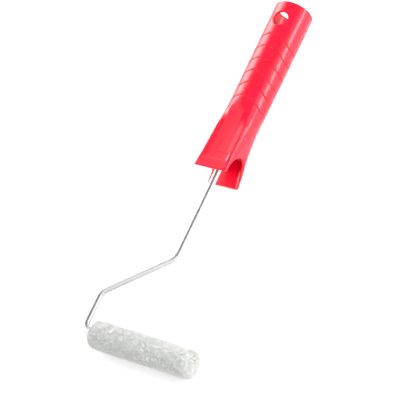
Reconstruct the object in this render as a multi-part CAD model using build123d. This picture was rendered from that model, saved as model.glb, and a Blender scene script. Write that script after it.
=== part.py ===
from build123d import *
import math
import os

os.makedirs("parts", exist_ok=True)

# ---------------------------------------------------------------------------
# Mini paint roller, 100 mm cover on a 6 mm cranked wire frame, moulded handle.
# Tool frame used while modelling: X along the roller axis, Y along the handle
# axis (roller at Y = 0, open end of the handle at high Y), Z normal to the
# plane of the wire.  At the end everything is tilted and dropped so that the
# tool lies on its cover and on the back lip of the handle, +Z up.
# ---------------------------------------------------------------------------

# wire frame
WIRE_D = 6.0
BEND_R = 12.0            # centre-line radius of the two crank bends
ELBOW_R = 8.5            # centre-line radius of the elbow into the cover
CRANK_Y = 82.9           # where the shank leaves the handle axis
OFFSET_X = -52.2         # side offset of the short leg
OFFSET_Y = 36.6          # where the short leg starts
SHANK_TOP = 236.0        # end of the shank inside the handle
ARM_TIP = 44.0           # end of the arm inside the cover

# cover
COVER_L = -40.7          # open end of the fleece
COVER_R = 59.3           # closed end of the fleece
FLEECE_R = 12.3
CORE_OD = 15.0
CORE_WALL = 1.2
CORE_L = -37.5
CORE_R = 52.5
CAP_FACE = 54.4          # where the end patch of the fleece starts
SLEEVE_OD = 8.8
RUN_CLEAR = 0.05         # radial running clearance

# handle
LIP_Y = 163.5            # mouth of the handle
RIM_Y = 335.8            # open end of the handle
TUBE_R_LOW = 16.85
TUBE_R_TOP = 18.0
FACET_Y = 236.0          # where the front facet starts
CREASE_Y = 208.0         # where the facet turns into the front lip
WALL = 2.3
HANG_Y = 317.5
HANG_D = 14.0
RING_N = 6
RING_Y1 = 292.8
RING_PITCH = 12.9
RING_BOW = 7.4           # how far a ring groove climbs at front and back
RING_R = 0.75
ARCH_H = 21.0            # side arches in the mouth
ARCH_HALF = 15.7
ARCH_Z = -1.8
ROOF_Y = 190.0           # web that closes the mouth
BOSS_OD = 12.5

# resting attitude
REST_TILT = math.degrees(math.atan2(18.75 - FLEECE_R, LIP_Y))


def y_plane(y):
    # sketch plane at a station along the handle, sketch x = tool X, y = tool Z
    return Plane(origin=(0, y, 0), x_dir=(1, 0, 0), z_dir=(0, -1, 0))


def section_points(w, zt, zb, at, bt, ab, bb, n=7):
    """Closed outline: half width w, top zt, bottom -zb, elliptic corners."""
    pts = []

    def corner(cx, cz, a, b, t0):
        for i in range(n):
            t = math.radians(t0 + 90.0 * i / (n - 1))
            pts.append((cx + a * math.cos(t), cz + b * math.sin(t)))

    corner(w - at, zt - bt, at, bt, 0)
    corner(-(w - at), zt - bt, at, bt, 90)
    corner(-(w - ab), -(zb - bb), ab, bb, 180)
    corner(w - ab, -(zb - bb), ab, bb, 270)
    return pts


# station: (y, half width, front z, back z, front corner x/z, back corner x/z)
STATIONS = [
    (FACET_Y, 16.85, 16.85, 16.85, 16.6, 16.6, 16.6, 16.6),
    (CREASE_Y, 16.40, 13.10, 16.60, 3.8, 4.8, 14.0, 14.0),
    (194.0, 16.20, 13.60, 16.60, 3.4, 4.4, 11.0, 11.0),
    (179.0, 16.00, 14.50, 17.40, 2.6, 3.2, 5.5, 5.5),
    (LIP_Y, 15.75, 15.50, 18.75, 1.4, 1.6, 2.6, 2.6),
]


def station_face(s, t=0.0):
    y, w, zt, zb, at, bt, ab, bb = s
    lo = 0.6
    pts = section_points(w - t, zt - t, zb - t, max(at - t, lo), max(bt - t, lo),
                         max(ab - t, lo), max(bb - t, lo))
    world = [(px, y, pz) for px, pz in pts]
    return make_face(Polyline(*world, close=True))


def lower_solid(t=0.0, y_end=LIP_Y):
    st = list(STATIONS)
    if y_end != LIP_Y:
        last = st[-1]
        st = st[:-1] + [(y_end,) + last[1:]]
    parts = []
    for a, b in zip(st[:-1], st[1:]):
        parts.append(loft([station_face(a, t), station_face(b, t)], ruled=True))
    out = parts[0]
    for p in parts[1:]:
        out = out + p
    return out


def tube_r(y):
    k = (y - FACET_Y) / (RIM_Y - FACET_Y)
    return TUBE_R_LOW + (TUBE_R_TOP - TUBE_R_LOW) * k


def y_cone(y0, y1, r0, r1):
    prof = make_face(Polyline((0, y0, 0), (r0, y0, 0), (r1, y1, 0), (0, y1, 0), close=True))
    return revolve(prof, Axis.Y, 360)


def y_cyl(y0, y1, r):
    return y_cone(y0, y1, r, r)


def x_ring(x0, x1, ro, ri=0.0):
    prof = make_face(Polyline((x0, ri, 0), (x1, ri, 0), (x1, ro, 0), (x0, ro, 0), close=True))
    return revolve(prof, Axis.X, 360)


# ---------------------------------------------------------------- handle ----
outer = y_cone(FACET_Y, RIM_Y, TUBE_R_LOW, TUBE_R_TOP) + lower_solid()
rim_edge = outer.edges().filter_by(GeomType.CIRCLE).sort_by(Axis.Y)[-1]
outer = fillet(rim_edge, 0.9)

# ring grooves, at the mean height of each slightly bowed ring
for i in range(RING_N):
    yg = RING_Y1 - RING_PITCH * i + RING_BOW / 2
    groove_face = Plane.XY * Pos(tube_r(yg) + 0.25, yg) * Circle(RING_R)
    outer = outer - revolve(groove_face, Axis.Y, 360)

# hollow from the open end down to the web above the mouth
bore_top = y_cone(FACET_Y - 0.01, RIM_Y + 1, TUBE_R_LOW - WALL, TUBE_R_TOP - WALL)
bore_top = bore_top + y_cyl(325.5, RIM_Y + 1, TUBE_R_TOP - WALL)
upper_cav = lower_solid(WALL)
keep_hi = Pos(0, (ROOF_Y + 2.4 + FACET_Y) / 2, 0) * Box(60, FACET_Y - ROOF_Y - 2.4, 60)
keep_lo = Pos(0, (ROOF_Y + LIP_Y - 10) / 2, 0) * Box(60, ROOF_Y - LIP_Y + 10, 60)
cav_hi = upper_cav & keep_hi
cav_lo = lower_solid(WALL, LIP_Y - 0.5) & keep_lo
handle = outer - bore_top - cav_hi - cav_lo

# side arches: cut only through the side walls
arch = extrude(Plane.YZ * Pos(LIP_Y, ARCH_Z) * Ellipse(ARCH_H, ARCH_HALF), 30, both=True)
core_keep = Pos(0, LIP_Y, 0) * Box(2 * 12.9, 80, 60)
handle = handle - (arch - core_keep)

# shank socket with four webs
boss = y_cyl(178.0, 241.0, BOSS_OD / 2)
web_x = Pos(0, 213.0, 0) * Box(33.0, 42.0, 1.8)
web_z = Pos(0, 213.0, 0) * Box(1.8, 42.0, 33.0)
web_low = Pos(0, 184.5, 0) * Box(1.8, 12.0, 33.0)
webs = (web_x + web_z + web_low) & lower_solid(0.8)
handle = handle + boss + webs
handle = handle - y_cyl(150.0, SHANK_TOP, WIRE_D / 2)

# hang hole through both walls
hang = Pos(0, HANG_Y, 0) * Cylinder(HANG_D / 2, 60)
handle = handle - hang

# shallow blank panel on the front lip
slope = math.degrees(math.atan2(15.50 - 14.50, 179.0 - LIP_Y))
panel = Pos(0, 176.6, 14.65) * (Rot(-slope, 0, 0) * (Pos(0, 0, 2.0 - 0.5) * Box(24.0, 6.9, 4.0)))
handle = handle - panel

# ------------------------------------------------------------ wire frame ----


def fillet_corner(p0, p1, p2, r):
    a = Vector(*p0) - Vector(*p1)
    b = Vector(*p2) - Vector(*p1)
    ang = math.radians(a.get_angle(b))
    d = r / math.tan(ang / 2)
    s = Vector(*p1) + a.normalized() * d
    e = Vector(*p1) + b.normalized() * d
    bis = (a.normalized() + b.normalized()).normalized()
    c = Vector(*p1) + bis * (r / math.sin(ang / 2))
    m = c + (Vector(*p1) - c).normalized() * r
    return s, m, e


P0, P1, P2, P3, P4 = ((0, SHANK_TOP, 0), (0, CRANK_Y, 0), (OFFSET_X, OFFSET_Y, 0),
                      (OFFSET_X, 0, 0), (ARM_TIP, 0, 0))
s1, m1, e1 = fillet_corner(P0, P1, P2, BEND_R)
s2, m2, e2 = fillet_corner(P1, P2, P3, BEND_R)
s3, m3, e3 = fillet_corner(P2, P3, P4, ELBOW_R)
wire_line = (
    Line(Vector(*P0), s1) + ThreePointArc(s1, m1, e1) + Line(e1, s2)
    + ThreePointArc(s2, m2, e2) + Line(e2, s3) + ThreePointArc(s3, m3, e3)
    + Line(e3, Vector(*P4))
)
wire_frame = sweep(y_plane(SHANK_TOP) * Circle(WIRE_D / 2), wire_line)
ends = wire_frame.edges().filter_by(GeomType.CIRCLE).group_by(Axis.X)[-1]
wire_frame = chamfer(ends, 0.5)

# --------------------------------------------------------- arm and cover ----
arm_r = WIRE_D / 2
stop_collar = x_ring(-42.5, -40.9, 5.0, arm_r)

sl_ri = arm_r + RUN_CLEAR
sl_ro = SLEEVE_OD / 2
spindle_sleeve = (x_ring(-40.6, -39.3, 5.8, sl_ri) + x_ring(-39.3, 46.0, sl_ro, sl_ri)
                  + x_ring(44.7, 46.0, 4.8, sl_ri))
for rot in (0, 90):
    slot = Pos(42.6, 0, 0) * (Rot(rot, 0, 0) * Box(8.0, 1.2, 14.0))
    spindle_sleeve = spindle_sleeve - slot

core_ri = CORE_OD / 2 - CORE_WALL
core_tube = x_ring(CORE_L, CORE_R, CORE_OD / 2, core_ri)

bush_ri = sl_ro + RUN_CLEAR
entry_bush = x_ring(CORE_L - 1.5, CORE_L, 7.4, bush_ri) + x_ring(CORE_L, CORE_L + 11.0, core_ri, bush_ri)
tip_bush = x_ring(33.0, 44.4, core_ri, bush_ri)

end_plug = x_ring(47.5, CORE_R, core_ri) + x_ring(CORE_R, CORE_R + 1.8, 8.4)
plug_edge = end_plug.edges().filter_by(GeomType.CIRCLE).sort_by(Axis.X)[-1]
end_plug = fillet(plug_edge, 0.8)

fl_ri = CORE_OD / 2 + 0.02
fleece_sleeve = x_ring(COVER_L, CAP_FACE, FLEECE_R, fl_ri)
outer_edges = [e for e in fleece_sleeve.edges().filter_by(GeomType.CIRCLE) if abs(e.radius - FLEECE_R) < 0.01]
outer_edges = sorted(outer_edges, key=lambda e: e.center().X)
fleece_sleeve = fillet(outer_edges[0], 4.2)
fleece_sleeve = fleece_sleeve - x_ring(CORE_R - 0.05, CAP_FACE + 1, 8.45)

fleece_end = x_ring(CAP_FACE, COVER_R, FLEECE_R)
oe = [e for e in fleece_end.edges().filter_by(GeomType.CIRCLE) if abs(e.center().X - COVER_R) < 0.01]
fleece_end = fillet(oe, 4.4)

nodes = {
    "handle": handle,
    "wire_frame": wire_frame,
    "stop_collar": stop_collar,
    "spindle_sleeve": spindle_sleeve,
    "entry_bush": entry_bush,
    "tip_bush": tip_bush,
    "core_tube": core_tube,
    "end_plug": end_plug,
    "fleece_sleeve": fleece_sleeve,
    "fleece_end": fleece_end,
}

# ------------------------------------------------- resting attitude, origin --
tilted = {n: Rot(REST_TILT, 0, 0) * s for n, s in nodes.items()}
boxes = [s.bounding_box() for s in tilted.values()]
x_mid = (min(b.min.X for b in boxes) + max(b.max.X for b in boxes)) / 2
y_mid = (min(b.min.Y for b in boxes) + max(b.max.Y for b in boxes)) / 2
z_low = min(b.min.Z for b in boxes)
shift = Pos(-x_mid, -y_mid, -z_low)
print("tilt", round(REST_TILT, 5), "shift", round(-x_mid, 4), round(-y_mid, 4), round(-z_low, 4))
for name, solid in tilted.items():
    placed = shift * solid
    print(name, round(placed.volume, 1), len(placed.solids()), placed.is_valid)
    export_step(placed, os.path.join("parts", name + ".step"))
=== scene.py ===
import math
import random

import bmesh
import bpy
import numpy as np
from mathutils import Matrix, Vector


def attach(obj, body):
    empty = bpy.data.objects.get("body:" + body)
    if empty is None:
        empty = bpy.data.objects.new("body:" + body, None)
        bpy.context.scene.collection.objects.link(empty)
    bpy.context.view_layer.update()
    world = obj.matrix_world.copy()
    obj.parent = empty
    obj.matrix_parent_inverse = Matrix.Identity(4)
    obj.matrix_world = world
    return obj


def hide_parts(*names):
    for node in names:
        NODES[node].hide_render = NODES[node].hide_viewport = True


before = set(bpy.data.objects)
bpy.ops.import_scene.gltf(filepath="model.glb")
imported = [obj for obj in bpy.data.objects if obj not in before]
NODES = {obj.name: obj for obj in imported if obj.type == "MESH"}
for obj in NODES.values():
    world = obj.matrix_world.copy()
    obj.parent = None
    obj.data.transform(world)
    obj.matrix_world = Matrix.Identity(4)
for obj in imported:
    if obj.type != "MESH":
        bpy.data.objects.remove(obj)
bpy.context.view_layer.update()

MM = 0.001

# ---------------------------------------------------------------------------
# Tool frame (mm): X along the roller, Y along the handle, Z normal to the wire.
# It is tilted and dropped into the row frame (m), as in the CAD.
# ---------------------------------------------------------------------------
TILT = math.radians(2.25912)
SHIFT = np.array([-2.05, -161.9567, 12.3])
TM = np.array([[1, 0, 0],
               [0, math.cos(TILT), -math.sin(TILT)],
               [0, math.sin(TILT), math.cos(TILT)]])


def to_row(p):
    return (np.asarray(p, float) @ TM.T + SHIFT) * MM


def link(o):
    bpy.context.scene.collection.objects.link(o)
    return o


def mesh_object(name, verts, faces, smooth=True, sharp_deg=None):
    me = bpy.data.meshes.new(name)
    me.from_pydata([tuple(map(float, v)) for v in verts], [], [tuple(int(i) for i in f) for f in faces])
    me.validate()
    me.update()
    if smooth:
        me.polygons.foreach_set("use_smooth", [True] * len(me.polygons))
    o = link(bpy.data.objects.new(name, me))
    if sharp_deg is not None:
        me.set_sharp_from_angle(angle=math.radians(sharp_deg))
    return o


# ------------------------------------------------------------- materials ---
def nodes_of(name):
    m = bpy.data.materials.new(name)
    m.use_nodes = True
    nt = m.node_tree
    nt.nodes.clear()
    out = nt.nodes.new("ShaderNodeOutputMaterial")
    b = nt.nodes.new("ShaderNodeBsdfPrincipled")
    nt.links.new(b.outputs[0], out.inputs[0])
    return m, nt, b


def noise(nt, scale, detail=3.0, rough=0.5, coord=None):
    n = nt.nodes.new("ShaderNodeTexNoise")
    n.inputs["Scale"].default_value = scale
    n.inputs["Detail"].default_value = detail
    n.inputs["Roughness"].default_value = rough
    if coord is not None:
        nt.links.new(coord, n.inputs["Vector"])
    return n


def ramp(nt, src, p0, c0, p1, c1):
    r = nt.nodes.new("ShaderNodeValToRGB")
    r.color_ramp.elements[0].position = p0
    r.color_ramp.elements[0].color = c0
    r.color_ramp.elements[1].position = p1
    r.color_ramp.elements[1].color = c1
    nt.links.new(src, r.inputs[0])
    return r


def maprange(nt, src, a, b, c, d):
    r = nt.nodes.new("ShaderNodeMapRange")
    r.inputs["From Min"].default_value = a
    r.inputs["From Max"].default_value = b
    r.inputs["To Min"].default_value = c
    r.inputs["To Max"].default_value = d
    nt.links.new(src, r.inputs["Value"])
    return r


def bump(nt, bsdf, height, strength, dist):
    b = nt.nodes.new("ShaderNodeBump")
    b.inputs["Strength"].default_value = strength
    b.inputs["Distance"].default_value = dist
    nt.links.new(height, b.inputs["Height"])
    nt.links.new(b.outputs[0], bsdf.inputs["Normal"])
    return b


def objcoord(nt):
    t = nt.nodes.new("ShaderNodeTexCoord")
    return t.outputs["Object"]


def red_plastic():
    m, nt, b = nodes_of("red_moulded_plastic")
    co = objcoord(nt)
    n1 = noise(nt, 60, 2, 0.5, co)
    c = ramp(nt, n1.outputs["Fac"], 0.35, (0.54, 0.0002, 0.013, 1), 0.65, (0.58, 0.0003, 0.016, 1))
    nt.links.new(c.outputs[0], b.inputs["Base Color"])
    n2 = noise(nt, 900, 3, 0.6, co)
    r = maprange(nt, n2.outputs["Fac"], 0.3, 0.7, 0.20, 0.25)
    nt.links.new(r.outputs[0], b.inputs["Roughness"])
    b.inputs["IOR"].default_value = 1.5
    b.inputs["Specular IOR Level"].default_value = 0.28
    n3 = noise(nt, 2500, 2, 0.5, co)
    bump(nt, b, n3.outputs["Fac"], 0.03, 0.0001)
    return m


def bright_wire():
    m, nt, b = nodes_of("bright_plated_wire")
    co = objcoord(nt)
    n1 = noise(nt, 220, 4, 0.6, co)
    c = ramp(nt, n1.outputs["Fac"], 0.3, (0.42, 0.422, 0.425, 1), 0.7, (0.48, 0.482, 0.485, 1))
    nt.links.new(c.outputs[0], b.inputs["Base Color"])
    b.inputs["Metallic"].default_value = 1.0
    r = maprange(nt, n1.outputs["Fac"], 0.3, 0.7, 0.42, 0.50)
    nt.links.new(r.outputs[0], b.inputs["Roughness"])
    n3 = noise(nt, 1400, 3, 0.6, co)
    bump(nt, b, n3.outputs["Fac"], 0.05, 0.0001)
    return m


def white_plastic(name, col, rough):
    m, nt, b = nodes_of(name)
    co = objcoord(nt)
    n1 = noise(nt, 300, 3, 0.5, co)
    lo = tuple(0.95 * c for c in col) + (1,)
    c = ramp(nt, n1.outputs["Fac"], 0.3, lo, 0.7, tuple(col) + (1,))
    nt.links.new(c.outputs[0], b.inputs["Base Color"])
    r = maprange(nt, n1.outputs["Fac"], 0.3, 0.7, rough - 0.04, rough + 0.05)
    nt.links.new(r.outputs[0], b.inputs["Roughness"])
    n3 = noise(nt, 1800, 2, 0.5, co)
    bump(nt, b, n3.outputs["Fac"], 0.06, 0.0001)
    return m


def fleece_mat(name, lo, hi):
    m, nt, b = nodes_of(name)
    co = objcoord(nt)
    n1 = noise(nt, 330, 3, 0.55, co)
    n2 = noise(nt, 1500, 3, 0.6, co)
    mixn = nt.nodes.new("ShaderNodeMath")
    mixn.operation = "MULTIPLY_ADD"
    mixn.inputs[1].default_value = 0.4
    nt.links.new(n2.outputs["Fac"], mixn.inputs[0])
    half = nt.nodes.new("ShaderNodeMath")
    half.operation = "MULTIPLY"
    half.inputs[1].default_value = 0.6
    nt.links.new(n1.outputs["Fac"], half.inputs[0])
    nt.links.new(half.outputs[0], mixn.inputs[2])
    c = ramp(nt, mixn.outputs[0], 0.38, lo, 0.58, hi)
    nt.links.new(c.outputs[0], b.inputs["Base Color"])
    b.inputs["Roughness"].default_value = 0.95
    b.inputs["Specular IOR Level"].default_value = 0.1
    b.inputs["Sheen Weight"].default_value = 0.3
    b.inputs["Sheen Roughness"].default_value = 0.5
    bump(nt, b, mixn.outputs[0], 0.6, 0.0008)
    return m


def floor_mat():
    m, nt, b = nodes_of("pale_floor")
    co = objcoord(nt)
    n1 = noise(nt, 3, 2, 0.5, co)
    c = ramp(nt, n1.outputs["Fac"], 0.2, (0.82, 0.82, 0.82, 1), 0.8, (0.84, 0.84, 0.84, 1))
    nt.links.new(c.outputs[0], b.inputs["Base Color"])
    b.inputs["Roughness"].default_value = 0.9
    b.inputs["Specular IOR Level"].default_value = 0.0
    return m


RED = red_plastic()
WIRE = bright_wire()
SPINDLE = white_plastic("natural_plastic", (0.78, 0.78, 0.75), 0.42)
CORE = white_plastic("core_plastic", (0.86, 0.86, 0.84), 0.38)
PILE = fleece_mat("pile_backing", (0.535, 0.545, 0.52, 1), (0.585, 0.59, 0.575, 1))
FIBRE = fleece_mat("pile_fibres", (0.545, 0.555, 0.535, 1), (0.595, 0.60, 0.59, 1))


def set_mat(o, m):
    if len(o.data.materials) == 0:
        o.data.materials.append(m)
    for i in range(len(o.data.materials)):
        o.data.materials[i] = m


for n, m in (("handle", RED), ("wire_frame", WIRE), ("stop_collar", WIRE), ("spindle_sleeve", SPINDLE),
             ("entry_bush", CORE), ("tip_bush", CORE), ("core_tube", CORE), ("end_plug", CORE),
             ("fleece_sleeve", PILE), ("fleece_end", PILE)):
    set_mat(NODES[n], m)

# ------------------------------------------------------------------ handle --
LIP_Y, RIM_Y, HANG_Y, HANG_R, WALL = 163.5, 335.8, 317.5, 7.0, 2.3
RING_Y1, RING_PITCH, RING_N = 293.0, 12.92, 6
# half outlines of the section from the front face round to the back, (x, z) at each station y
OUTLINES = {
    163.5: [(0, 15.45), (8, 15.45), (15.0, 15.4), (15.75, 14.7), (15.85, 12.0), (15.9, 6.0), (15.9, 0), (15.9, -8), (15.9, -14), (15.7, -17.2), (14.6, -18.7), (8, -18.75), (0, -18.75)],
    171.0: [(0, 15.0), (8, 15.05), (14.5, 15.25), (15.65, 14.2), (16.05, 11.6), (16.1, 6.0), (16.1, 0), (16.1, -8), (15.9, -13.4), (15.2, -16.3), (13.4, -17.9), (8, -18.05), (0, -18.05)],
    179.0: [(0, 14.4), (8, 14.5), (13.75, 15.0), (15.35, 13.2), (16.2, 10.6), (16.3, 5.6), (16.25, 0), (16.2, -8), (15.6, -12.6), (14.2, -15.6), (11.8, -17.2), (8, -17.4), (0, -17.4)],
    187.0: [(0, 13.9), (8, 14.05), (13.6, 14.55), (15.25, 12.6), (16.25, 9.9), (16.4, 5.2), (16.35, 0), (16.2, -7.4), (15.0, -11.8), (13.0, -14.8), (10.4, -16.6), (6.5, -16.9), (0, -16.9)],
    197.0: [(0, 13.4), (8, 13.5), (13.45, 14.0), (15.25, 11.9), (16.3, 9.2), (16.5, 4.9), (16.45, 0), (16.0, -6.2), (14.3, -10.9), (12.0, -13.9), (9.2, -15.9), (5.4, -16.6), (0, -16.7)],
    208.5: [(0, 13.0), (8, 13.05), (13.2, 13.55), (15.0, 11.1), (16.3, 8.5), (16.7, 4.6), (16.6, 0), (15.8, -5.6), (13.8, -10.0), (11.4, -13.1), (8.6, -15.2), (4.8, -16.5), (0, -16.9)],
    211.0: [(0, 13.35), (7.4, 13.45), (12.2, 13.8), (14.75, 11.0), (16.25, 8.3), (16.8, 4.6), (16.75, 0), (15.8, -5.6), (13.7, -10.0), (11.3, -13.1), (8.5, -15.2), (4.8, -16.4), (0, -16.9)],
    222.0: [(0, 15.05), (4.2, 15.15), (7.6, 15.2), (11.8, 13.0), (15.0, 9.3), (16.7, 4.6), (17.0, 0), (15.9, -5.6), (13.6, -10.0), (11.1, -12.9), (8.3, -14.9), (4.6, -16.3), (0, -16.85)],
}


def dense_outline(pts):
    """Radius at 181 angles from the front (90 deg) round to the back (-90 deg), smoothed through the corners."""
    p = np.array(pts, float)
    d = np.concatenate([[0], np.cumsum(np.linalg.norm(np.diff(p, axis=0), axis=1))])
    s = np.linspace(0, d[-1], 700)
    x, z = np.interp(s, d, p[:, 0]), np.interp(s, d, p[:, 1])
    kk = np.ones(17) / 17
    # mirror at both ends so that the smoothing keeps the outline symmetric
    xe = np.concatenate([-x[8:0:-1], x, -x[-2:-10:-1]])
    ze = np.concatenate([z[8:0:-1], z, z[-2:-10:-1]])
    for _ in range(1):
        xs, zs = np.convolve(xe, kk, "valid"), np.convolve(ze, kk, "valid")
    a = np.degrees(np.arctan2(zs, np.maximum(xs, 0)))
    r = np.hypot(xs, zs)
    o = np.argsort(a)
    return np.interp(np.linspace(-90, 90, 361), a[o], r[o])


def round_radius(y):
    return 17.1 + (y - 236.0) * 0.9 / 99.8


ST_Y = sorted(OUTLINES) + [232.0, 236.0]
ST_R = [dense_outline(OUTLINES[y]) for y in sorted(OUTLINES)]
ST_R.append(np.full(361, round_radius(232.0)) * 1.0)
ST_R.append(np.full(361, round_radius(236.0)))
ST_R = np.array(ST_R)
ST_Y = np.array(ST_Y)


def section_r(th, y, t=0.0):
    """Polar radius of the handle's outline at angle th (0 = +X, 90 deg = front) and station y, less the wall t."""
    shape = np.broadcast(th, y).shape
    y = np.broadcast_to(np.asarray(y, float), shape)
    th = np.broadcast_to(th, shape)
    el = np.degrees(np.arcsin(np.clip(np.sin(th), -1, 1)))
    u = (el + 90.0) * 2.0
    iu = np.clip(np.floor(u).astype(int), 0, 359)
    fu = u - iu
    yc = np.clip(y, ST_Y[0] - 3.0, ST_Y[-1])
    k = np.clip(np.searchsorted(ST_Y, yc, side="right") - 1, 0, len(ST_Y) - 2)
    f = (yc - ST_Y[k]) / (ST_Y[k + 1] - ST_Y[k])
    lo = ST_R[k, iu] * (1 - fu) + ST_R[k, iu + 1] * fu
    hi = ST_R[k + 1, iu] * (1 - fu) + ST_R[k + 1, iu + 1] * fu
    r = lo * (1 - f) + hi * f
    r = np.where(y >= ST_Y[-1], round_radius(y), r)
    return r - t


def handle_arch(z):
    u = np.clip((z + 1.8) / 15.7, -1, 1)
    return LIP_Y + 21.0 * np.sqrt(np.maximum(1 - u * u, 0)) ** 1.0


def smooth(a, b, x):
    t = np.clip((x - a) / (b - a), 0, 1)
    return t * t * (3 - 2 * t)


def columns(n=288):
    fine = np.radians(np.linspace(0, 360, 7201))
    dens = np.ones_like(fine)
    for c, w in ((40, 8), (140, 8), (230, 8), (310, 8)):
        dens += 3.6 * np.exp(-((np.degrees(fine) - c) / w) ** 2)
    cum = np.concatenate([[0], np.cumsum((dens[1:] + dens[:-1]) / 2)])
    return np.interp(np.arange(n) / n * cum[-1], cum, fine)


TH = columns()
NC = len(TH)
BOW = np.where(np.sin(TH) > 0, 7.7, 4.6) * np.sin(TH) ** 2
RINGS = [RING_Y1 - RING_PITCH * i for i in range(RING_N)]


def warp(Y):
    return smooth(209.0, 227.0, Y) * (1 - smooth(294.6, 308.2, Y))


def ring_depth(Y):
    d = 0.0
    for g in RINGS:
        u = Y - g
        d = d + 0.80 * math.exp(-(u / 0.48) ** 2)
        # each grip step is a hair fuller just below its ring
        d = d - 0.03 * math.exp(-((u + 1.3) / 0.8) ** 2)
    return d


def panel_depth(x, y, front):
    """A shallow blank recess just inside the front lip."""
    sx = 1 - smooth(11.7, 12.15, np.abs(x))
    sy = smooth(172.9, 173.35, y) * (1 - smooth(179.9, 180.3, y))
    return np.where(front, 0.55 * sx * sy, 0.0)


def col_points(y, r):
    return np.column_stack([r * np.cos(TH), np.broadcast_to(y, TH.shape), r * np.sin(TH)])


def boundary_y(t):
    y = np.full(NC, LIP_Y + 0.9)
    for _ in range(60):
        z = section_r(TH, y, t) * np.sin(TH)
        y = 0.5 * y + 0.5 * (handle_arch(z) + 0.9)
    return y


loops, tags = [], []


def add_loop(p):
    loops.append(np.asarray(p, float))


yb = boundary_y(0.0)
k = np.ones(5) / 5
for _ in range(3):
    yb = np.convolve(np.concatenate([yb[-2:], yb, yb[:2]]), k, "valid") * 0.5 + yb * 0.5

# mouth cavity, from the roof out to the edge
Y_ROOF_LO, Y_ROOF_HI = 190.0, 192.4


def ring_at(y, r):
    return np.column_stack([r * np.cos(TH), np.full(NC, y), r * np.sin(TH)])


inner_loops = []
BORE, BOSS = 3.03, 6.25
inner_loops += [ring_at(187.0, 1.2), ring_at(187.0, 2.6), ring_at(186.8, BORE), ring_at(183.0, BORE), ring_at(179.0, BORE),
                ring_at(178.3, BORE + 0.05), ring_at(178.0, BORE + 0.4)]
inner_loops += [ring_at(178.0, 4.5), ring_at(178.0, BOSS - 0.7), ring_at(178.2, BOSS - 0.25), ring_at(178.7, BOSS)]
inner_loops += [ring_at(182.0, BOSS), ring_at(186.0, BOSS), ring_at(189.0, BOSS), ring_at(189.7, BOSS + 0.2), ring_at(190.0, BOSS + 0.8)]
rin = section_r(TH, np.full(NC, 190.0), WALL)
for f in (0.35, 0.7):
    inner_loops.append(np.column_stack([((BOSS + 0.8) * (1 - f) + (rin - 0.8) * f) * np.cos(TH), np.full(NC, 190.0),
                                        ((BOSS + 0.8) * (1 - f) + (rin - 0.8) * f) * np.sin(TH)]))
inner_loops.append(col_points(190.0, rin - 0.8))
inner_loops.append(col_points(189.75, rin - 0.25))
inner_loops.append(col_points(189.2, section_r(TH, np.full(NC, 189.2), WALL)))
NI = 16
for j in range(1, NI + 1):
    f = j / NI
    y = 189.2 * (1 - f) + yb * f
    inner_loops.append(col_points(y, section_r(TH, y, WALL)))
Pi = inner_loops[-1]
Po = col_points(yb, section_r(TH, yb))
mid = (Pi + Po) / 2
hw = np.linalg.norm(Po - Pi, axis=1)[:, None] / 2
nrm = (Po - Pi) / (2 * hw)
tang = np.roll(mid, -1, 0) - np.roll(mid, 1, 0)
for _ in range(2):
    tang = (np.roll(tang, 1, 0) + tang + np.roll(tang, -1, 0)) / 3
tang /= np.linalg.norm(tang, axis=1)[:, None]
bi = np.cross(tang, nrm)
bi *= np.sign(-bi[:, 1:2] + 1e-9)
bi /= np.linalg.norm(bi, axis=1)[:, None]
edge_loops = []
for ph in np.radians([150, 120, 90, 60, 30]):
    edge_loops.append(mid + nrm * hw * math.cos(ph) + bi * 0.9 * math.sin(ph))

# outer surface
outer_loops = [Po]
front = np.sin(TH) > 0
rows = list(np.arange(165.4, 172.0, 0.9)) + list(np.arange(172.2, 181.2, 0.36)) + list(np.arange(182.0, 206.2, 1.1)) \
    + [206.5, 206.8, 207.0, 207.2, 207.6] + list(np.arange(208.6, 209.1, 1.0))
REF = rows[-1]
for yr in rows:
    f = (yr - 164.4) / (REF - 164.4)
    y = yb * (1 - f) + REF * f
    r = section_r(TH, y)
    p = col_points(y, r)
    dep = panel_depth(p[:, 0], p[:, 1], front)
    p[:, 2] -= dep
    outer_loops.append(p)
Ys = list(np.arange(REF + 1.0, 226.9, 1.05))
for g in sorted(RINGS):
    Ys += [g + o for o in (-2.1, -1.5, -1.05, -0.75, -0.5, -0.25, 0, 0.25, 0.5, 0.75, 1.05)]
    Ys += [g + o for o in (2.6, 4.4, 6.3, 8.2, 9.8)]
Ys = sorted(Ys)
Ys = [y for y in Ys if y < RINGS[0] + 1.6]
Ys += list(np.arange(RINGS[0] + 2.4, 308.0, 1.15))
Ys = [Y for i, Y in enumerate(Ys) if i == 0 or Y - Ys[i - 1] > 0.12]
for Y in Ys:
    y = Y + BOW * warp(Y)
    r = section_r(TH, y) - ring_depth(Y)
    outer_loops.append(col_points(y, r))
patch_rows = list(np.linspace(308.4, 326.6, 13))
first_patch_outer = len(outer_loops)
for Y in patch_rows:
    outer_loops.append(col_points(Y, section_r(TH, np.full(NC, Y))))
last_patch_outer = len(outer_loops) - 1
for Y in (328.2, 330.0, 332.0, 333.6, 334.5):
    outer_loops.append(col_points(Y, section_r(TH, np.full(NC, Y))))
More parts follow.
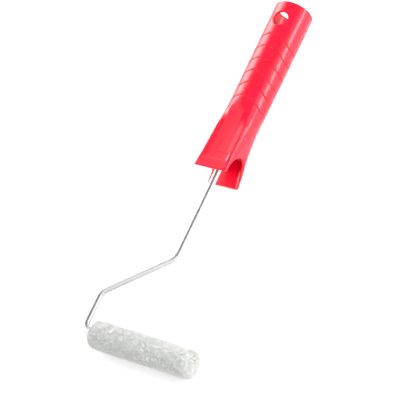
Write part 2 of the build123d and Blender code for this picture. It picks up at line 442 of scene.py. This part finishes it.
# rolled rim
ro, ri = 18.0, 18.0 - WALL
for ph in np.radians([15, 30, 45, 60, 75, 90]):
    outer_loops.append(ring_at(RIM_Y - 1.0 + 1.0 * math.sin(ph), ro - 1.0 + 1.0 * math.cos(ph)))
for ph in np.radians([90, 60, 30, 0]):
    outer_loops.append(ring_at(RIM_Y - 0.7 + 0.7 * math.sin(ph), ri + 0.7 - 0.7 * math.cos(ph)))
for Y in (333.6, 332.0, 330.0, 328.2):
    outer_loops.append(ring_at(Y, float(section_r(np.array([0.0]), np.array([Y]), WALL)[0])))
first_patch_inner = len(outer_loops)
for Y in reversed(patch_rows):
    outer_loops.append(ring_at(Y, float(section_r(np.array([0.0]), np.array([Y]), WALL)[0])))
last_patch_inner = len(outer_loops) - 1
for Y in list(np.arange(304.0, 240.0, -6.0)) + [236.0, 230.0, 224.0, 218.0, 212.0, 207.0, 200.0, 196.0, 193.4]:
    outer_loops.append(col_points(Y, section_r(TH, np.full(NC, Y), WALL)))
rin2 = section_r(TH, np.full(NC, 192.8), WALL)
outer_loops.append(col_points(192.65, rin2 - 0.25))
outer_loops.append(col_points(192.4, rin2 - 0.9))
for f in (0.4, 0.8):
    rr = (rin2 - 0.9) * (1 - f) + (BOSS + 0.8) * f
    outer_loops.append(col_points(192.4, rr))
for y, r in ((192.4, BOSS + 0.8), (192.65, BOSS + 0.2), (193.3, BOSS), (205.0, BOSS), (220.0, BOSS), (235.0, BOSS),
             (240.3, BOSS), (240.8, BOSS - 0.2), (241.0, BOSS - 0.7), (241.0, 3.0), (241.0, 1.2)):
    outer_loops.append(ring_at(y, r))

all_loops = inner_loops + edge_loops + outer_loops
off = len(inner_loops) + len(edge_loops)
V = [p for lp in all_loops for p in lp]
F = []


def patch_hits(i0, i1, sign):
    """Column span of the hole's patch and its row span, as loop indices."""
    lim = math.radians(34)
    centre = math.pi / 2 if sign > 0 else 3 * math.pi / 2
    cols = [j for j in range(NC) if abs(TH[j] - centre) < lim]
    return min(cols), max(cols), i0, i1


def add_quads(skip):
    for i in range(len(all_loops) - 1):
        for j in range(NC):
            if (i, j) in skip:
                continue
            a, b = i * NC + j, i * NC + (j + 1) % NC
            F.append((a, b, b + NC, a + NC))


skip = set()
patches = []
for sign in (1, -1):
    for outerside, (i0, i1) in ((True, (off + first_patch_outer, off + last_patch_outer)),
                                (False, (off + first_patch_inner, off + last_patch_inner))):
        c0, c1, r0, r1 = patch_hits(i0, i1, sign)
        for i in range(r0, r1):
            for j in range(c0, c1):
                skip.add((i, j))
        patches.append((sign, outerside, c0, c1, r0, r1))
add_quads(skip)
# close the two blind ends
for first, flip in ((0, False), (len(all_loops) - 1, True)):
    c = np.mean(all_loops[first], axis=0)
    V.append(c)
    ci = len(V) - 1
    for j in range(NC):
        a, b = first * NC + j, first * NC + (j + 1) % NC
        F.append((ci, b, a) if not flip else (ci, a, b))


def border(c0, c1, r0, r1):
    loop = [r0 * NC + j for j in range(c0, c1)]
    loop += [i * NC + c1 for i in range(r0, r1)]
    loop += [r1 * NC + j for j in range(c1, c0, -1)]
    loop += [i * NC + c0 for i in range(r1, r0, -1)]
    return loop


def hole(sign):
    outer_p = [p for p in patches if p[0] == sign and p[1]][0]
    inner_p = [p for p in patches if p[0] == sign and not p[1]][0]
    lo = border(*outer_p[2:])
    li = border(*inner_p[2:])

    def ang(i):
        return math.atan2(V[i][1] - HANG_Y, V[i][0])

    # match the inner border to the outer one by position
    key_in = {(round(V[i][1], 3), round(math.atan2(V[i][2], V[i][0]), 4)): i for i in li}
    li = [key_in[(round(V[i][1], 3), round(math.atan2(V[i][2], V[i][0]), 4))] for i in lo]
    n = len(lo)
    rings = [lo]

    def surf(x, y, t):
        r = float(round_radius(y)) - t
        return sign * math.sqrt(r * r - x * x)

    R1, R2 = 0.65, 0.45
    plan = []
    for f in (0.2, 0.4, 0.6, 0.78, 0.9, 1.0):
        plan.append(("o", f))
    for ph in np.radians([22, 45, 67, 90]):
        plan.append(("oe", ph))
    plan.append(("ie", math.radians(90)))
    for ph in np.radians([60, 30, 0]):
        plan.append(("ie", ph))
    for f in (0.7, 0.35):
        plan.append(("i", f))
    for kind, q in plan:
        idx = []
        for m in range(n):
            i = lo[m]
            a = ang(i)
            bx, by = V[i][0], V[i][1]
            if kind in ("o", "i"):
                rad = HANG_R + (R1 if kind == "o" else R2)
                cx, cy = rad * math.cos(a), HANG_Y + rad * math.sin(a)
                if kind == "i":
                    bi_ = li[m]
                    bx, by = V[bi_][0], V[bi_][1]
                x, y = bx * (1 - q) + cx * q, by * (1 - q) + cy * q
                z = surf(x, y, 0.0 if kind == "o" else WALL)
            elif kind == "oe":
                rad = HANG_R + R1 * (1 - math.sin(q))
                x, y = rad * math.cos(a), HANG_Y + rad * math.sin(a)
                z = surf(x, y, 0.0) - sign * R1 * (1 - math.cos(q))
            else:
                rad = HANG_R + R2 * (1 - math.sin(q))
                x, y = rad * math.cos(a), HANG_Y + rad * math.sin(a)
                z = surf(x, y, WALL) + sign * R2 * (1 - math.cos(q))
            V.append(np.array([x, y, z]))
            idx.append(len(V) - 1)
        rings.append(idx)
    rings.append(li)
    for a, b in zip(rings[:-1], rings[1:]):
        for m in range(n):
            q = (a[m], a[(m + 1) % n], b[(m + 1) % n], b[m])
            F.append(q)


hole(1)
hole(-1)
handle = mesh_object("handle_shell", to_row(np.array(V)), F, smooth=True)

bm = bmesh.new()
bm.from_mesh(handle.data)
bmesh.ops.remove_doubles(bm, verts=bm.verts, dist=1e-7)
bmesh.ops.recalc_face_normals(bm, faces=bm.faces)
bm.to_mesh(handle.data)
bm.free()
handle.data.polygons.foreach_set("use_smooth", [True] * len(handle.data.polygons))
handle.data.materials.append(RED)
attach(handle, "frame")
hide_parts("handle")

# ------------------------------------------------------------------ fleece --
def hash3(i, j, k, seed):
    h = (i * 374761393 + j * 668265263 + k * 2147483647 + seed * 1274126177) & 0xFFFFFFFF
    h = ((h ^ (h >> 13)) * 1274126177) & 0xFFFFFFFF
    h = (h ^ (h >> 16)) & 0xFFFFFF
    return h / float(0xFFFFFF)


def vnoise(p, scale, seed):
    """Smooth value noise of the points p (mm), with features of the given size (mm), in -1..1."""
    q = np.asarray(p, float) / scale + 1000.0
    f = np.floor(q)
    w = q - f
    w = w * w * w * (w * (6 * w - 15) + 10)
    i = f.astype(np.int64)
    out = 0.0
    for a in (0, 1):
        for b in (0, 1):
            for c in (0, 1):
                hv = hash3(i[:, 0] + a, i[:, 1] + b, i[:, 2] + c, seed)
                wa = w[:, 0] if a else 1 - w[:, 0]
                wb = w[:, 1] if b else 1 - w[:, 1]
                wc = w[:, 2] if c else 1 - w[:, 2]
                out = out + hv * wa * wb * wc
    return out * 2 - 1


# backing profile from the core's mouth, over the curled edge, along the barrel and over the closed end: (x, radius)
def profile():
    pts = [(-37.3, 7.55), (-38.4, 7.6)]
    for a in np.radians(np.linspace(200, 90, 14)):
        pts.append((-36.2 + 3.7 * math.cos(a), 9.55 + 2.0 * math.sin(a)) if math.sin(a) < 0
                   else (-36.4 + 3.6 * math.cos(a), 8.1 + 3.5 * math.sin(a)))
    pts += [(x, 11.6) for x in np.linspace(-35.4, 53.4, 200)]
    for a in np.radians(np.linspace(90, 8, 16)):
        pts.append((54.0 + 4.5 * math.cos(a), 6.9 + 4.7 * math.sin(a)))
    pts += [(58.55, r) for r in (6.6, 5.6, 4.6, 3.6, 2.6, 1.7, 0.9)]
    p = np.array(pts)
    d = np.concatenate([[0], np.cumsum(np.linalg.norm(np.diff(p, axis=0), axis=1))])
    n = int(d[-1] / 0.40)
    s = np.linspace(0, d[-1], n)
    out = np.column_stack([np.interp(s, d, p[:, 0]), np.interp(s, d, p[:, 1])])
    k3 = np.ones(5) / 5
    for _ in range(3):
        for c in (0, 1):
            v = out[:, c].copy()
            v[2:-2] = np.convolve(v, k3, "valid")
            out[:, c] = v
    return out


PR = profile()
PT = np.gradient(PR, axis=0)
PT /= np.linalg.norm(PT, axis=1)[:, None]
PN = np.column_stack([-PT[:, 1], PT[:, 0]])


def pile_height(p):
    h = 0.08 * vnoise(p, 3.2, 1) + 0.11 * vnoise(p, 1.4, 2) + 0.10 * vnoise(p, 0.8, 3)
    return h


FC = 220
fth = np.arange(FC) / FC * 2 * math.pi
rows_p, rows_n = [], []
for (x, r), (nx, nr) in zip(PR, PN):
    rows_p.append(np.column_stack([np.full(FC, x), r * np.cos(fth), r * np.sin(fth)]))
    rows_n.append(np.column_stack([np.full(FC, nx), nr * np.cos(fth), nr * np.sin(fth)]))
bp, bn = np.vstack(rows_p), np.vstack(rows_n)
fade = np.repeat(np.clip(np.arange(len(PR)) / 8.0, 0, 1) * np.clip((len(PR) - 1 - np.arange(len(PR))) / 4.0, 0.3, 1), FC)
bp = bp + bn * (pile_height(bp) * fade)[:, None]
# the backing runs back inside the core's mouth and closes on itself
NR = len(PR)
inner = [np.column_stack([np.full(FC, x), r * np.cos(fth), r * np.sin(fth)]) for x, r in
         ((-36.6, 7.55), (-36.0, 8.2), (-30.0, 10.2), (-10.0, 10.5), (30.0, 10.5), (52.0, 10.3), (56.4, 6.0), (57.4, 1.0))]
bv = np.vstack([bp] + inner)
total = NR + len(inner)
order = list(range(NR + len(inner) - 1, NR - 1, -1)) + list(range(NR))
bf = []
for a, b in zip(order[:-1], order[1:]):
    for j in range(FC):
        k2 = (j + 1) % FC
        bf.append((a * FC + j, a * FC + k2, b * FC + k2, b * FC + j))
pole_out = len(bv)
bv = np.vstack([bv, [[58.6, 0, 0]], [[57.4, 0, 0]]])
lo, li_ = order[-1], order[0]
for j in range(FC):
    k2 = (j + 1) % FC
    bf.append((lo * FC + j, lo * FC + k2, pole_out))
    bf.append((li_ * FC + k2, li_ * FC + j, pole_out + 1))


def floor_row(p):
    """Row frame, with the pile pressed flat where the cover lies on the floor."""
    q = to_row(p)
    low = q[:, 2] < 0.0006
    q[low, 2] = 0.0002 + 0.0004 * np.exp((q[low, 2] - 0.0006) / 0.0006)
    return q


backing = mesh_object("fleece_backing", floor_row(bv), bf, smooth=True)
bm = bmesh.new()
bm.from_mesh(backing.data)
bmesh.ops.recalc_face_normals(bm, faces=bm.faces)
bm.to_mesh(backing.data)
bm.free()
backing.data.polygons.foreach_set("use_smooth", [True] * len(backing.data.polygons))
backing.data.materials.append(PILE)
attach(backing, "cover")
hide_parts("fleece_sleeve", "fleece_end")

rng = np.random.default_rng(7)


def lock_piece(name, count, length, width):
    """Thin tapered locks of pile, each a closed three-sided spike with a bend in it."""
    w = PR[:, 1].copy()
    w[:4] = 0
    cum = np.concatenate([[0], np.cumsum((w[1:] + w[:-1]) / 2)])
    s = np.interp(rng.random(count) * cum[-1], cum, np.arange(len(PR)))
    th = rng.random(count) * 2 * math.pi
    ix = np.arange(len(PR))
    x, r = np.interp(s, ix, PR[:, 0]), np.interp(s, ix, PR[:, 1])
    nx, nr = np.interp(s, ix, PN[:, 0]), np.interp(s, ix, PN[:, 1])
    tx, tr = np.interp(s, ix, PT[:, 0]), np.interp(s, ix, PT[:, 1])
    ct, st = np.cos(th), np.sin(th)
    p = np.column_stack([x, r * ct, r * st])
    n = np.column_stack([nx, nr * ct, nr * st])
    t1 = np.column_stack([tx, tr * ct, tr * st])
    t2 = np.column_stack([np.zeros(count), -st, ct])
    edge = np.clip(s / 8.0, 0, 1)
    h = pile_height(p) * edge
    base = p + n * (h - 0.25)[:, None]
    lean1 = 0.15 * vnoise(p, 3.2, 11) + 0.22 * vnoise(p, 1.3, 12) + rng.normal(0, 0.22, count)
    lean2 = 0.15 * vnoise(p, 3.2, 13) + 0.22 * vnoise(p, 1.3, 14) + rng.normal(0, 0.22, count)
    end = np.clip((x - 53.5) / 4.0, 0, 1)
    lean2 = lean2 + 0.55 * end
    d1 = n + t1 * (0.6 * lean1)[:, None] + t2 * (0.6 * lean2)[:, None]
    d1 /= np.linalg.norm(d1, axis=1)[:, None]
    d2 = n * 0.75 + t1 * (1.5 * lean1)[:, None] + t2 * (1.5 * lean2)[:, None] + rng.normal(0, 0.25, (count, 3))
    d2 /= np.linalg.norm(d2, axis=1)[:, None]
    L = length * (0.75 + 0.5 * rng.random(count)) * (1 + 0.15 * vnoise(p, 3.0, 21)) * (0.65 + 0.35 * edge)
    midp = base + d1 * (0.55 * L)[:, None]
    tip = midp + d2 * (0.45 * L)[:, None]
    # two directions across each lock
    ref = t1 + 0.3 * t2
    u = np.cross(d1, ref)
    u /= np.linalg.norm(u, axis=1)[:, None]
    v = np.cross(d1, u)
    W = width * (0.75 + 0.5 * rng.random(count))
    ang = rng.random(count) * 2 * math.pi
    verts = np.empty((count, 7, 3))
    for m in range(3):
        a = ang + m * 2 * math.pi / 3
        off2 = u * np.cos(a)[:, None] + v * np.sin(a)[:, None]
        verts[:, m] = base + off2 * W[:, None]
        verts[:, 3 + m] = midp + off2 * (0.72 * W)[:, None]
    verts[:, 6] = tip
    V2 = verts.reshape(-1, 3)
    q = floor_row(V2)
    i0 = np.arange(count) * 7
    faces = []
    for m in range(3):
        k3 = (m + 1) % 3
        faces.append(np.column_stack([i0 + m, i0 + k3, i0 + 3 + k3, i0 + 3 + m]))
    quads = np.concatenate(faces)
    tris = [np.column_stack([i0 + 3 + m, i0 + 3 + (m + 1) % 3, i0 + 6]) for m in range(3)]
    tris.append(np.column_stack([i0 + 2, i0 + 1, i0]))
    tris = np.concatenate(tris)
    me = bpy.data.meshes.new(name)
    me.vertices.add(len(q))
    me.vertices.foreach_set("co", q.astype(np.float32).ravel())
    nl = quads.size + tris.size
    me.loops.add(nl)
    me.loops.foreach_set("vertex_index", np.concatenate([quads.ravel(), tris.ravel()]).astype(np.int32))
    me.polygons.add(len(quads) + len(tris))
    starts = np.concatenate([np.arange(len(quads)) * 4, quads.size + np.arange(len(tris)) * 3])
    me.polygons.foreach_set("loop_start", starts.astype(np.int32))
    me.update(calc_edges=True)
    me.validate()
    me.polygons.foreach_set("use_smooth", [True] * len(me.polygons))
    o = link(bpy.data.objects.new(name, me))
    me.materials.append(FIBRE)
    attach(o, "cover")
    return o


for i in range(3):
    lock_piece(f"fleece_pile_{i + 1}", 16000, 1.25, 0.17)

# ------------------------------------------------------------------ floor --
fm = bpy.data.meshes.new("floor")
S = 6.0
fm.from_pydata([(-S, -S, 0), (S, -S, 0), (S, S, 0), (-S, S, 0)], [], [(0, 1, 2, 3)])
floor = link(bpy.data.objects.new("floor", fm))
floor.data.materials.append(floor_mat())

# ----------------------------------------------------------------- camera --
R_T = np.array([[0.83632486, 0.41036969, -0.36353467],
                [-0.20837606, 0.85127524, 0.48157023],
                [0.50708988, -0.32699723, 0.79745386]])
CAM_T = np.array([601.51244372, -251.36341843, 951.76634507])
cam_pos = to_row(CAM_T)
right, up, back = (TM @ R_T[0], TM @ R_T[1], TM @ R_T[2])
cd = bpy.data.cameras.new("camera")
cam = link(bpy.data.objects.new("camera", cd))
cam.matrix_world = Matrix(((right[0], up[0], back[0], cam_pos[0]),
                           (right[1], up[1], back[1], cam_pos[1]),
                           (right[2], up[2], back[2], cam_pos[2]),
                           (0, 0, 0, 1)))
cd.sensor_width = 36.0
cd.lens = 1410.427 * 36.0 / 400.0
cd.clip_start = 0.05
cd.clip_end = 50.0
cd.dof.use_dof = False
bpy.context.scene.camera = cam

# ------------------------------------------------------------------ light --
world = bpy.data.worlds.new("studio")
bpy.context.scene.world = world
world.use_nodes = True
wn = world.node_tree
bg = wn.nodes["Background"]
wtc = wn.nodes.new("ShaderNodeTexCoord")
wdot = wn.nodes.new("ShaderNodeVectorMath")
wdot.operation = "DOT_PRODUCT"
wn.links.new(wtc.outputs["Generated"], wdot.inputs[0])
dark = np.array([0.22, 0.41, 0.885])
wdot.inputs[1].default_value = tuple(TM @ (dark / np.linalg.norm(dark)))
wramp = wn.nodes.new("ShaderNodeValToRGB")
wramp.color_ramp.interpolation = "EASE"
wramp.color_ramp.elements[0].position = 0.665
wramp.color_ramp.elements[0].color = (1.0, 1.0, 1.0, 1)
wramp.color_ramp.elements[1].position = 0.80
wramp.color_ramp.elements[1].color = (0.06, 0.06, 0.06, 1)
wn.links.new(wdot.outputs["Value"], wramp.inputs[0])
wn.links.new(wramp.outputs[0], bg.inputs[0])
bg.inputs[1].default_value = 2.2


def area(name, aim, direction, dist, size, power, size_y=None):
    """Soft box placed along a direction given in the tool frame."""
    d = Vector(TM @ (np.array(direction, float) / np.linalg.norm(direction)))
    l = bpy.data.lights.new(name, "AREA")
    l.shape = "RECTANGLE"
    l.size = size
    l.size_y = size_y or size
    l.energy = power
    o = link(bpy.data.objects.new(name, l))
    o.location = Vector(to_row(aim)) + d * dist
    o.rotation_euler = (-d).to_track_quat("-Z", "Y").to_euler()
    return o


# broad overhead light: lights the shapes and the floor, and stays out of reflections
key = area("key", (0, 120, 0), (0.0, 0.70, 0.71), 1.5, 2.6, 42, 2.0)
key.visible_glossy = False
# strip lights that show only as reflections
left_box = area("left_box", (0, 250, 0), (-0.86, 0.33, 0.36), 1.3, 1.1, 24, 0.8)
right_box = area("right_box", (0, 250, 0), (0.94, 0.33, 0.09), 1.3, 0.62, 9.0, 0.24)
# a low light over the bare floor beside the handle, which the handle's side mirrors
side = area("side", (420, 285, -10), (0.0, 0.0, 1.0), 0.19, 0.42, 5.0, 0.40)
side.visible_glossy = False
for o in (left_box, right_box):
    o.visible_diffuse = False

bpy.context.scene.view_settings.view_transform = "Standard"
bpy.context.scene.view_settings.look = "None"
bpy.context.scene.view_settings.exposure = 0.0
bpy.context.scene.view_settings.gamma = 1.0
